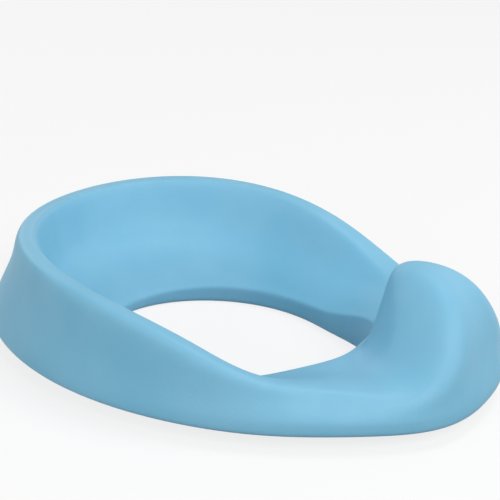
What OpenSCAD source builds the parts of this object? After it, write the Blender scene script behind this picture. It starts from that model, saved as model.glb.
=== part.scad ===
// Child's potty training seat: one ring of moulded skinned foam, with a wrap-round back,
// a splash guard at the front and a locating collar below that drops into a toilet seat.
// The front faces -Y. Z is 0 at the foot of the collar.
// The skin is lofted round the opening through seven sections, at the angles named below.

/* [Stations] */
// Angle of the splash guard's crown, where its round top turns down, from the front
crown_angle = 9; // [7:0.5:11]
// Angle of the section on the splash guard's flank, from the front
flank_angle = 19; // [14:1:24]
// Angle of the shoulder section, from the front
shoulder_angle = 35; // [30:1:44]
// Angle of the thigh section, from the front
thigh_angle = 62; // [56:1:68]
// Angle of the side section, from the front
side_angle = 84; // [78:1:96]
// Angle of the haunch section, from the front
haunch_angle = 143; // [128:1:152]

/* [Opening] */
// Radius of the opening at the front
opening_front_r = 72; // [64:1:76]
// Radius of the opening at the guard's flank
opening_flank_r = 73; // [66:1:79]
// Radius of the opening at the shoulders
opening_shoulder_r = 68; // [62:1:75]
// Radius of the opening at the thighs
opening_thigh_r = 60; // [53:1:66]
// Radius of the opening at the sides
opening_side_r = 63; // [55:1:69]
// Radius of the opening at the haunches
opening_haunch_r = 87; // [78:1:94]
// Radius of the opening at the back
opening_back_r = 98; // [90:1:106]
// Size of the rounding where the seat turns down into the opening
lip_round = 5; // [3:0.5:7]

/* [Flange outline] */
// Radius of the flange at the front
flange_front_r = 154; // [148:1:166]
// Radius of the flange at the guard's flank
flange_flank_r = 152; // [146:1:164]
// Radius of the flange at the shoulders
flange_shoulder_r = 138; // [131:1:148]
// Radius of the flange at the thighs
flange_thigh_r = 125; // [119:1:136]
// Radius of the flange at the sides
flange_side_r = 123; // [117:1:136]
// Radius of the flange at the haunches
flange_haunch_r = 152; // [146:1:164]
// Radius of the flange at the back
flange_back_r = 176; // [168:1:188]
// Height at which the outer wall turns down into the flange's edge
edge_h = 8; // [6:0.5:11]
// Rounding under the flange's edge
edge_round = 3; // [1.5:0.5:4]

/* [Crest line] */
// Radius of the crest at the front, on the splash guard
crest_front_r = 111; // [105:1:118]
// Radius of the crest at the guard's flank
crest_flank_r = 127; // [118:1:130]
// Radius of the crest at the shoulders
crest_shoulder_r = 112; // [104:1:118]
// Radius of the crest at the thighs
crest_thigh_r = 104; // [98:1:109]
// Radius of the crest at the sides
crest_side_r = 105; // [99:1:109]
// Radius of the crest at the haunches
crest_haunch_r = 133; // [126:1:138]
// Radius of the crest at the back
crest_back_r = 145; // [138:1:156]

/* [Crest height over the flange's underside] */
// Height of the splash guard
crest_front_h = 75; // [64:1:86]
// Height at the guard's crown
crest_crown_h = 67.5; // [58:0.5:76]
// Height at the guard's flank
crest_flank_h = 35; // [32:1:46]
// Height at the shoulders
crest_shoulder_h = 22.5; // [20:0.5:30]
// Height at the thighs, where the legs lie
crest_thigh_h = 27.5; // [24:0.5:34]
// Height at the sides
crest_side_h = 43.5; // [38:0.5:52]
// Height at the haunches
crest_haunch_h = 63; // [54:1:72]
// Height of the back
crest_back_h = 62; // [54:1:76]

/* [Lip height over the flange's underside] */
// Height of the opening's lip at the front
lip_front_h = 20; // [14:0.5:24]
// Height of the opening's lip at the guard's flank
lip_flank_h = 18.5; // [13:0.5:23]
// Height of the opening's lip at the shoulders
lip_shoulder_h = 15; // [11:0.5:18]
// Height of the opening's lip at the thighs
lip_thigh_h = 6.5; // [3:0.5:11]
// Height of the opening's lip at the sides
lip_side_h = 3.5; // [1:0.5:8]
// Height of the opening's lip at the haunches
lip_haunch_h = 2.5; // [0:0.5:7]
// Height of the opening's lip at the back
lip_back_h = -1; // [-1.5:0.5:4]

/* [Section at the front] */
// Width of the crest inwards of its top
front_inner_w = 24; // [18:0.5:26]
// Width of the crest outwards of its top
front_outer_w = 17.5; // [14:0.5:22]
// Fall from the crest's top to its inner corner
front_inner_fall = 0; // [-1:0.5:4]
// Fall from the crest's top to its outer corner
front_outer_fall = 5.5; // [3:0.5:8]
// Hollow of the seat near the lip
front_low_hollow = 7; // [2:0.5:9]
// Hollow of the seat near the crest
front_high_hollow = 3.5; // [0:0.5:6]
// Fullness of the outer wall above its middle
front_high_swell = 5.5; // [2:0.5:7]
// Fullness of the outer wall below its middle
front_low_swell = 0.5; // [-2:0.5:2]

/* [Section at the shoulders] */
// Width of the crest inwards of its top
shoulder_inner_w = 10.5; // [8:0.5:14]
// Width of the crest outwards of its top
shoulder_outer_w = 14.5; // [9:0.5:15]
// Fall from the crest's top to its inner corner
shoulder_inner_fall = 1.5; // [1:0.5:4]
// Rise from the crest's top to its outer corner
shoulder_outer_rise = 0.5; // [-1:0.5:2]
// Hollow of the seat near the lip
shoulder_low_hollow = 1; // [-1:0.5:3]
// Hollow of the seat near the crest
shoulder_high_hollow = 0; // [-1:0.5:2]
// Fullness of the outer wall above its middle
shoulder_high_swell = 0.5; // [-1:0.5:2]
// Fullness of the outer wall below its middle
shoulder_low_swell = 1; // [-1:0.5:3]

/* [Section at the sides] */
// Width of the crest inwards of its top
side_inner_w = 4; // [3:0.5:8]
// Width of the crest outwards of its top
side_outer_w = 11; // [7:0.5:12]
// Fall from the crest's top to its inner corner
side_inner_fall = 1; // [0:0.5:4]
// Rise from the crest's top to its outer corner
side_outer_rise = 3; // [0:0.5:4]
// Hollow of the seat near the lip
side_low_hollow = 5; // [1:0.5:6]
// Hollow of the seat near the crest
side_high_hollow = 8.5; // [4:0.5:11]
// Hollow of the outer wall above its middle
side_high_dip = 0.5; // [-1:0.5:3]
// Hollow of the outer wall below its middle
side_low_dip = 1.5; // [-1:0.5:3]

/* [Section at the back] */
// Width of the crest inwards of its top
back_inner_w = 4; // [3:0.5:9]
// Width of the crest outwards of its top
back_outer_w = 9.5; // [7:0.5:13]
// Rise from the crest's top to its inner corner
back_inner_rise = 4; // [0:0.5:7]
// Rise from the crest's top to its outer corner
back_outer_rise = 2; // [0:0.5:4]
// Rise of the seat near the lip
back_low_rise = 7; // [4:0.5:10]
// Hollow of the seat near the crest
back_high_hollow = 18.5; // [12:0.5:21]
// Hollow of the outer wall above its middle
back_high_dip = 4.5; // [0:0.5:7]
// Hollow of the outer wall below its middle
back_low_dip = 1; // [-1:0.5:4]

/* [Collar] */
// Depth of the collar below the flange
collar_h = 9.5; // [7.5:0.5:14]
// Thickness of the collar, outwards from the opening
collar_wall = 30; // [18:1:36]
// Rounding of the collar's lower edges
collar_round = 3; // [1:0.5:3.5]
// Fillet between the collar and the flange
collar_fillet = 3; // [1:0.5:3.5]

/* [Finish] */
// Number of sections in the skin
sections = 100; // [72:4:100]

/* [Hidden] */

foam_blue = [0.50, 0.73, 0.88];
// The outlines run through all stations, the crest's height through one more, on the guard's crown,
// and the section's form through four of them
stations = [0, flank_angle, shoulder_angle, thigh_angle, side_angle, haunch_angle, 180];
height_stations = [0, crown_angle, flank_angle, shoulder_angle, thigh_angle, side_angle, haunch_angle, 180];
form_stations = [0, shoulder_angle, side_angle, 180];
// The opening's centre lies in front of the middle of the length
centre_y = (flange_front_r - flange_back_r) / 2;
// Shares of the way outwards and upwards, from the lip to the crest, where the hollows are set
low_hollow_at = [0.4, 0.3];
high_hollow_at = [0.8, 0.7];
// Shares of the way from the crest to the flange's edge where the wall's fullness is set
high_swell_at = [0.35, 0.35];
low_swell_at = [0.7, 0.7];
// Steps of the skin curve in each of its spans, from the opening to the flange's edge
span_steps = [1, 1, 3, 4, 4, 4, 5, 5, 5, 4, 4, 3, 2];
round_steps = 3;

// Second derivatives of the smooth curve through (x, y) that runs level at both ends
function level_spline(x, y) =
    let (
        last = len(x) - 1,
        gap = [for (i = [0:last - 1]) x[i + 1] - x[i]],
        slope = [for (i = [0:last - 1]) (y[i + 1] - y[i]) / gap[i]],
        below = [for (i = [0:last]) i == 0 ? 0 : gap[i - 1]],
        above = [for (i = [0:last]) i == last ? 0 : gap[i]],
        right = [for (i = [0:last]) 6 * ((i == last ? 0 : slope[i]) - (i == 0 ? 0 : slope[i - 1]))],
        swept = sweep_down(below, above, right, 0, [])
    )
    back_up(swept, last, []);

// Forward pass of the three-band elimination: one [ratio, value] pair for each row
function sweep_down(below, above, right, i, done) =
    i == len(right) ? done :
    let (
        before = i == 0 ? [0, 0] : done[i - 1],
        pivot = 2 * (below[i] + above[i]) - below[i] * before[0]
    )
    sweep_down(below, above, right, i + 1,
        concat(done, [[above[i] / pivot, (right[i] - below[i] * before[1]) / pivot]]));

// Backward pass, from the last row to the first
function back_up(swept, i, done) =
    i < 0 ? done :
    back_up(swept, i - 1,
        concat([swept[i][1] - swept[i][0] * (len(done) == 0 ? 0 : done[0])], done));

// Value of that curve at t
function spline_at(x, y, bend, t, i = 0) =
    (i < len(x) - 2 && t > x[i + 1]) ? spline_at(x, y, bend, t, i + 1) :
    let (
        gap = x[i + 1] - x[i],
        a = (x[i + 1] - t) / gap,
        b = (t - x[i]) / gap
    )
    a * y[i] + b * y[i + 1] + ((pow(a, 3) - a) * bend[i] + (pow(b, 3) - b) * bend[i + 1]) * gap * gap / 6;

// Values round the ring, one for each section, from values at the stations of one half
function round_ring(x, y) =
    let (bend = level_spline(x, y))
    [for (i = [0:sections - 1]) spline_at(x, y, bend, half_angle(i))];

function ring_angle(i) = 360 * i / sections;
function half_angle(i) = min(ring_angle(i), 360 - ring_angle(i));

// Uniform cubic blend of four control points
function blend(a, b, c, d, t) =
    (pow(1 - t, 3) * a + (3 * pow(t, 3) - 6 * pow(t, 2) + 4) * b
        + (3 * t + 3 * pow(t, 2) - 3 * pow(t, 3) + 1) * c + pow(t, 3) * d) / 6;

// Smooth curve along control points, which starts on the first and ends on the last
function skin_curve(p, steps) =
    let (
        last = len(p) - 1,
        q = concat([2 * p[0] - p[1]], p, [2 * p[last] - p[last - 1]])
    )
    concat(
        [for (i = [0:last - 1]) for (k = [0:steps[i] - 1]) blend(q[i], q[i + 1], q[i + 2], q[i + 3], k / steps[i])],
        [p[last]]
    );

// Quarter round about a centre, from one angle to another, without its end points
function quarter(centre, r, from, to) =
    [for (k = [1:round_steps - 1]) let (a = from + (to - from) * k / round_steps) centre + r * [cos(a), sin(a)]];

// The point that lies the given shares of the way from a to b, outwards and upwards
function between(a, b, share) = [a.x + (b.x - a.x) * share.x, a.y + (b.y - a.y) * share.y];

opening_r = round_ring(stations, [opening_front_r, opening_flank_r, opening_shoulder_r, opening_thigh_r,
    opening_side_r, opening_haunch_r, opening_back_r]);
flange_r = round_ring(stations, [flange_front_r, flange_flank_r, flange_shoulder_r, flange_thigh_r,
    flange_side_r, flange_haunch_r, flange_back_r]);
crest_r = round_ring(stations, [crest_front_r, crest_flank_r, crest_shoulder_r, crest_thigh_r,
    crest_side_r, crest_haunch_r, crest_back_r]);
crest_h = round_ring(height_stations, [crest_front_h, crest_crown_h, crest_flank_h, crest_shoulder_h,
    crest_thigh_h, crest_side_h, crest_haunch_h, crest_back_h]);
lip_h = round_ring(stations, [lip_front_h, lip_flank_h, lip_shoulder_h, lip_thigh_h,
    lip_side_h, lip_haunch_h, lip_back_h]);
inner_w = round_ring(form_stations, [front_inner_w, shoulder_inner_w, side_inner_w, back_inner_w]);
outer_w = round_ring(form_stations, [front_outer_w, shoulder_outer_w, side_outer_w, back_outer_w]);
inner_fall = round_ring(form_stations,
    [front_inner_fall, shoulder_inner_fall, side_inner_fall, -back_inner_rise]);
outer_fall = round_ring(form_stations,
    [front_outer_fall, -shoulder_outer_rise, -side_outer_rise, -back_outer_rise]);
low_hollow = round_ring(form_stations,
    [front_low_hollow, shoulder_low_hollow, side_low_hollow, -back_low_rise]);
high_hollow = round_ring(form_stations,
    [front_high_hollow, shoulder_high_hollow, side_high_hollow, back_high_hollow]);
high_swell = round_ring(form_stations,
    [front_high_swell, shoulder_high_swell, -side_high_dip, -back_high_dip]);
low_swell = round_ring(form_stations,
    [front_low_swell, shoulder_low_swell, -side_low_dip, -back_low_dip]);

// Upper skin of section i as [radius, height], from the collar's foot inside the opening,
// over the lip, the seat and the crest, and down the outer wall to the flange's edge
function skin_points(i) =
    let (
        lip = [opening_r[i], collar_h + lip_h[i]],
        crest = [crest_r[i], collar_h + crest_h[i]],
        inner = crest - [inner_w[i], inner_fall[i]],
        outer = crest + [outer_w[i], -outer_fall[i]],
        edge = [flange_r[i], collar_h + edge_h],
        foot = [lip.x, collar_round],
        wall_top = [lip.x, max(lip.y - lip_round, collar_round + 0.5)]
    )
    skin_curve([
        foot,
        (foot + wall_top) / 2,
        wall_top,
        lip,
        lip + [lip_round, 0.5],
        between(lip, inner, low_hollow_at) - [0, low_hollow[i]],
        between(lip, inner, high_hollow_at) - [0, high_hollow[i]],
        inner,
        crest + [0, (inner_fall[i] + outer_fall[i]) / 4],
        outer,
        between(outer, edge, high_swell_at) + [high_swell[i], 0],
        between(outer, edge, low_swell_at) + [low_swell[i], 0],
        edge,
        [edge.x, collar_h + edge_round]
    ], span_steps);

// Underside of section i, from the flange's edge inwards and round the collar
function under_points(i) =
    let (
        flange = flange_r[i],
        root = opening_r[i] + collar_wall,
        hole = opening_r[i]
    )
    concat(
        quarter([flange - edge_round, collar_h + edge_round], edge_round, 0, -90),
        [[flange - edge_round, collar_h], [root + collar_fillet, collar_h]],
        quarter([root + collar_fillet, collar_h - collar_fillet], collar_fillet, 90, 180),
        [[root, collar_h - collar_fillet], [root, collar_round]],
        quarter([root - collar_round, collar_round], collar_round, 0, -90),
        [[root - collar_round, 0], [hole + collar_round, 0]],
        quarter([hole + collar_round, collar_round], collar_round, -90, -180)
    );

function section(i) = concat(skin_points(i), under_points(i));

// A section's points stood up at its angle round the opening
function placed(i) =
    let (a = ring_angle(i))
    [for (p = section(i)) [p.x * sin(a), centre_y - p.x * cos(a), p.y]];

// One solid ring through all sections. The quads of the two halves are split as mirror images.
module seat_body() {
    rows = [for (i = [0:sections - 1]) placed(i)];
    count = len(rows[0]);
    points = [for (row = rows) for (p = row) p];
    faces = [for (i = [0:sections - 1]) for (j = [0:count - 1])
        let (
            a = i * count + j,
            b = i * count + (j + 1) % count,
            c = ((i + 1) % sections) * count + (j + 1) % count,
            d = ((i + 1) % sections) * count + j
        )
        each (i < sections / 2 ? [[a, c, b], [a, d, c]] : [[a, d, b], [b, d, c]])];
    color(foam_blue) polyhedron(points, faces, convexity = 6);
}

seat_body();
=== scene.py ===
import math

import bmesh
import bpy
from mathutils import Matrix, Vector


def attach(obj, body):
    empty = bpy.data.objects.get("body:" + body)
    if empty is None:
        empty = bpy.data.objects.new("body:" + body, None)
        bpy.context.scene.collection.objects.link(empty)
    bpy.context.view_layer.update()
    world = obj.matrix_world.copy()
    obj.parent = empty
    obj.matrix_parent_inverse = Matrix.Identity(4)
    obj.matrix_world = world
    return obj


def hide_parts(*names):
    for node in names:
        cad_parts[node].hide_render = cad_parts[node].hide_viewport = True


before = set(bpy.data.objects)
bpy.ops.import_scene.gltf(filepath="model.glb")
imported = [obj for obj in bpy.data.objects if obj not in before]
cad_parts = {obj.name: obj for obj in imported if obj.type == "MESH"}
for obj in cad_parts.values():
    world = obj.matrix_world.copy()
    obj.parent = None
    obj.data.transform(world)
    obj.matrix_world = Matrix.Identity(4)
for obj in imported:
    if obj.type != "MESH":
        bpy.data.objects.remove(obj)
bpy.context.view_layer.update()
scene = bpy.context.scene
scene.view_settings.view_transform = "Standard"
mm = 0.001

print("stage: camera")

# The photograph's point of view, in degrees and millimetres. Azimuth 0 looks at the splash guard
# from the front.
viewpoint = {
    "azimuth": -64.38,
    "elevation": 21.71,
    "roll": 2.62,
    "distance": 980.4,
    "target": (17.4, 3.1, 61.5),
    "focalPixels": 1574.0,
    "imagePixels": 500,
    "sensorWidth": 36.0,
    "clipEnd": 50,
}


def towards(azimuth, elevation):
    # The way from the seat to a camera or lamp at these angles
    az = math.radians(azimuth)
    el = math.radians(elevation)
    return Vector((math.sin(az) * math.cos(el), -math.cos(az) * math.cos(el), math.sin(el)))


def addCamera():
    az = math.radians(viewpoint["azimuth"])
    back = towards(viewpoint["azimuth"], viewpoint["elevation"])
    right = Vector((math.cos(az), math.sin(az), 0))
    up = back.cross(right)
    roll = Matrix.Rotation(math.radians(viewpoint["roll"]), 3, "Z")
    turn = Matrix((right, up, back)).transposed() @ roll
    data = bpy.data.cameras.new("camera")
    data.sensor_width = viewpoint["sensorWidth"]
    data.lens = viewpoint["focalPixels"] / viewpoint["imagePixels"] * viewpoint["sensorWidth"]
    data.clip_end = viewpoint["clipEnd"]
    camera = bpy.data.objects.new("camera", data)
    place = (Vector(viewpoint["target"]) + back * viewpoint["distance"]) * mm
    camera.matrix_world = Matrix.Translation(place) @ turn.to_4x4()
    scene.collection.objects.link(camera)
    scene.camera = camera


addCamera()

print("stage: materials")


class Signal:
    # One socket of a node tree, with the operators that the materials use
    def __init__(self, tree, socket):
        self.tree = tree
        self.socket = socket

    def math(self, operation, other):
        node = self.tree.nodes.new("ShaderNodeMath")
        node.operation = operation
        self.tree.links.new(self.socket, node.inputs[0])
        plug(self.tree, other, node.inputs[1])
        return Signal(self.tree, node.outputs[0])

    def __add__(self, other):
        return self.math("ADD", other)

    def __mul__(self, other):
        return self.math("MULTIPLY", other)

    __radd__ = __add__
    __rmul__ = __mul__


def plug(tree, value, socket):
    # A link where the value is a signal, and a plain setting where it isn't
    if isinstance(value, Signal):
        tree.links.new(value.socket, socket)
    else:
        socket.default_value = value


class Shader:
    # The node tree of a material or a world, with one method that adds any node
    def __init__(self, owner):
        owner.use_nodes = True
        self.owner = owner
        self.tree = owner.node_tree
        self.tree.nodes.clear()

    def node(self, kind, settings, inputs, output=0):
        node = self.tree.nodes.new(kind)
        for key, value in settings.items():
            setattr(node, key, value)
        for key, value in inputs.items():
            plug(self.tree, value, node.inputs[key])
        return Signal(self.tree, node.outputs[output]) if node.outputs else node

    def finish(self, surface, output="ShaderNodeOutputMaterial"):
        self.node(output, {}, {"Surface": surface})
        return self.owner


# Self-skinned foam: coloured through, matt, with a skin as fine as an eggshell's. Each Scale is per
# metre, and the bump takes its height in metres.
foamSkin = {
    "colour": (0.255, 0.558, 0.755, 1),
    "deepColour": (0.165, 0.478, 0.682, 1),
    "cloud": {"Scale": 22, "Detail": 3.0, "Roughness": 0.5},
    "grain": {"Scale": 700, "Detail": 2.0, "Roughness": 0.6},
    "ripple": {"Scale": 60, "Detail": 1.0, "Roughness": 0.4},
    "grainDepth": 0.10 * mm,
    "rippleDepth": 0.25 * mm,
    "bump": {"Strength": 1.0, "Distance": 1.0},
    "roughness": 0.47,
    "roughnessSpread": 0.10,
    "specular": 0.30,
}

# The numbers of a Mix node's sockets for colours, which share their names with those for values
mixSockets = {"factor": 0, "first": 6, "second": 7, "result": 2}


def noise(s, place, pattern):
    return s.node("ShaderNodeTexNoise", {"noise_dimensions": "3D"}, {"Vector": place, **pattern})


def mixColours(s, factor, first, second):
    sockets = {mixSockets["factor"]: factor, mixSockets["first"]: first, mixSockets["second"]: second}
    return s.node("ShaderNodeMix", {"data_type": "RGBA"}, sockets, mixSockets["result"])


def foamMaterial():
    look = foamSkin
    s = Shader(bpy.data.materials.new("foamSkin"))
    place = s.node("ShaderNodeTexCoord", {}, {}, "Object")
    cloud = noise(s, place, look["cloud"])
    grain = noise(s, place, look["grain"])
    ripple = noise(s, place, look["ripple"])
    smoothest = look["roughness"] - look["roughnessSpread"] / 2
    height = grain * look["grainDepth"] + ripple * look["rippleDepth"]
    skin = s.node("ShaderNodeBsdfPrincipled", {}, {
        "Base Color": mixColours(s, cloud, look["colour"], look["deepColour"]),
        "Roughness": grain * look["roughnessSpread"] + smoothest,
        "Specular IOR Level": look["specular"],
        "Normal": s.node("ShaderNodeBump", {}, {"Height": height, **look["bump"]}),
    })
    return s.finish(skin)


print("stage: seat")

seat = {
    "node": "seat_body",
    "slot": "foam_skin",
    "mergeDistance": 0.01 * mm,
    "subdivisions": 2,
    "fill": 1.0,
}


def addSeat():
    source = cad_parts[seat["node"]]
    piece = bpy.data.objects.new("foamSeat", source.data.copy())
    scene.collection.objects.link(piece)
    work = bmesh.new()
    work.from_mesh(piece.data)
    bmesh.ops.remove_doubles(work, verts=work.verts, dist=seat["mergeDistance"])
    bmesh.ops.join_triangles(work, faces=work.faces, angle_face_threshold=math.pi,
                             angle_shape_threshold=math.pi)
    for face in work.faces:
        face.smooth = True
    work.to_mesh(piece.data)
    work.free()
    smooth = piece.modifiers.new("smooth", "SUBSURF")
    smooth.levels = seat["subdivisions"]
    smooth.render_levels = seat["subdivisions"]
    piece.data.materials.clear()
    piece.data.materials.append(foamMaterial())
    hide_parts(seat["node"])
    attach(piece, "root")


addSeat()

print("stage: studio")

# Lengths are in metres. The floor is darker for the light that it scatters onto the seat than for
# the camera and for reflections.
studio = {
    "floorSize": 12.0,
    "floorColour": (0.25, 0.25, 0.25, 1),
    "seenFloorColour": (0.90, 0.90, 0.90, 1),
    "white": (1, 1, 1, 1),
    "floorGlow": 0.80,
    "lampDistance": 1.6,
}

# The photograph's light comes from the front left, with weaker light from above, right and behind
lamps = {
    "leftLamp": {"azimuth": -90, "elevation": 22, "size": 1.0, "power": 9.0},
    "mainLamp": {"azimuth": -40, "elevation": 42, "size": 0.7, "power": 7.3},
    "frontLamp": {"azimuth": 5, "elevation": 28, "size": 1.2, "power": 9.0},
    "topLamp": {"azimuth": 50, "elevation": 72, "size": 0.6, "power": 7.0},
    "rightLamp": {"azimuth": 70, "elevation": 32, "size": 1.4, "power": 4.0},
    "backLamp": {"azimuth": -145, "elevation": 15, "size": 1.0, "power": 5.5},
    "rearLamp": {"azimuth": 150, "elevation": 28, "size": 1.0, "power": 4.0},
}


def addLamp(name, lamp):
    data = bpy.data.lights.new(name, "AREA")
    data.shape = "DISK"
    data.size = lamp["size"]
    data.energy = lamp["power"]
    lampObject = bpy.data.objects.new(name, data)
    away = towards(lamp["azimuth"], lamp["elevation"])
    lampObject.location = away * studio["lampDistance"]
    lampObject.rotation_euler = (-away).to_track_quat("-Z", "Y").to_euler()
    scene.collection.objects.link(lampObject)


def seenRays(s):
    # 1 for the rays that show the background: to the camera, in a reflection or through glass
    toCamera = s.node("ShaderNodeLightPath", {}, {}, "Is Camera Ray")
    glossy = s.node("ShaderNodeLightPath", {}, {}, "Is Glossy Ray")
    through = s.node("ShaderNodeLightPath", {}, {}, "Is Transmission Ray")
    return toCamera + glossy + through


def mixShaders(s, factor, first, second):
    return s.node("ShaderNodeMixShader", {}, {0: factor, 1: first, 2: second})


def addFloor():
    work = bmesh.new()
    bmesh.ops.create_grid(work, x_segments=1, y_segments=1, size=studio["floorSize"] / 2)
    data = bpy.data.meshes.new("floor")
    work.to_mesh(data)
    work.free()
    floor = bpy.data.objects.new("floor", data)
    scene.collection.objects.link(floor)
    s = Shader(bpy.data.materials.new("floorPaper"))
    paper = s.node("ShaderNodeBsdfDiffuse", {}, {"Color": studio["floorColour"]})
    glow = s.node("ShaderNodeEmission", {}, {"Color": studio["white"]})
    whitePaper = s.node("ShaderNodeBsdfDiffuse", {}, {"Color": studio["seenFloorColour"]})
    seenPaper = mixShaders(s, studio["floorGlow"], whitePaper, glow)
    data.materials.append(s.finish(mixShaders(s, seenRays(s), paper, seenPaper)))


def addWorld():
    s = Shader(bpy.data.worlds.new("studio"))
    light = {"Color": studio["white"], "Strength": seenRays(s)}
    scene.world = s.finish(s.node("ShaderNodeBackground", {}, light), "ShaderNodeOutputWorld")


addFloor()
addWorld()
for lampName, lamp in lamps.items():
    addLamp(lampName, lamp)

print("stage: sizes")
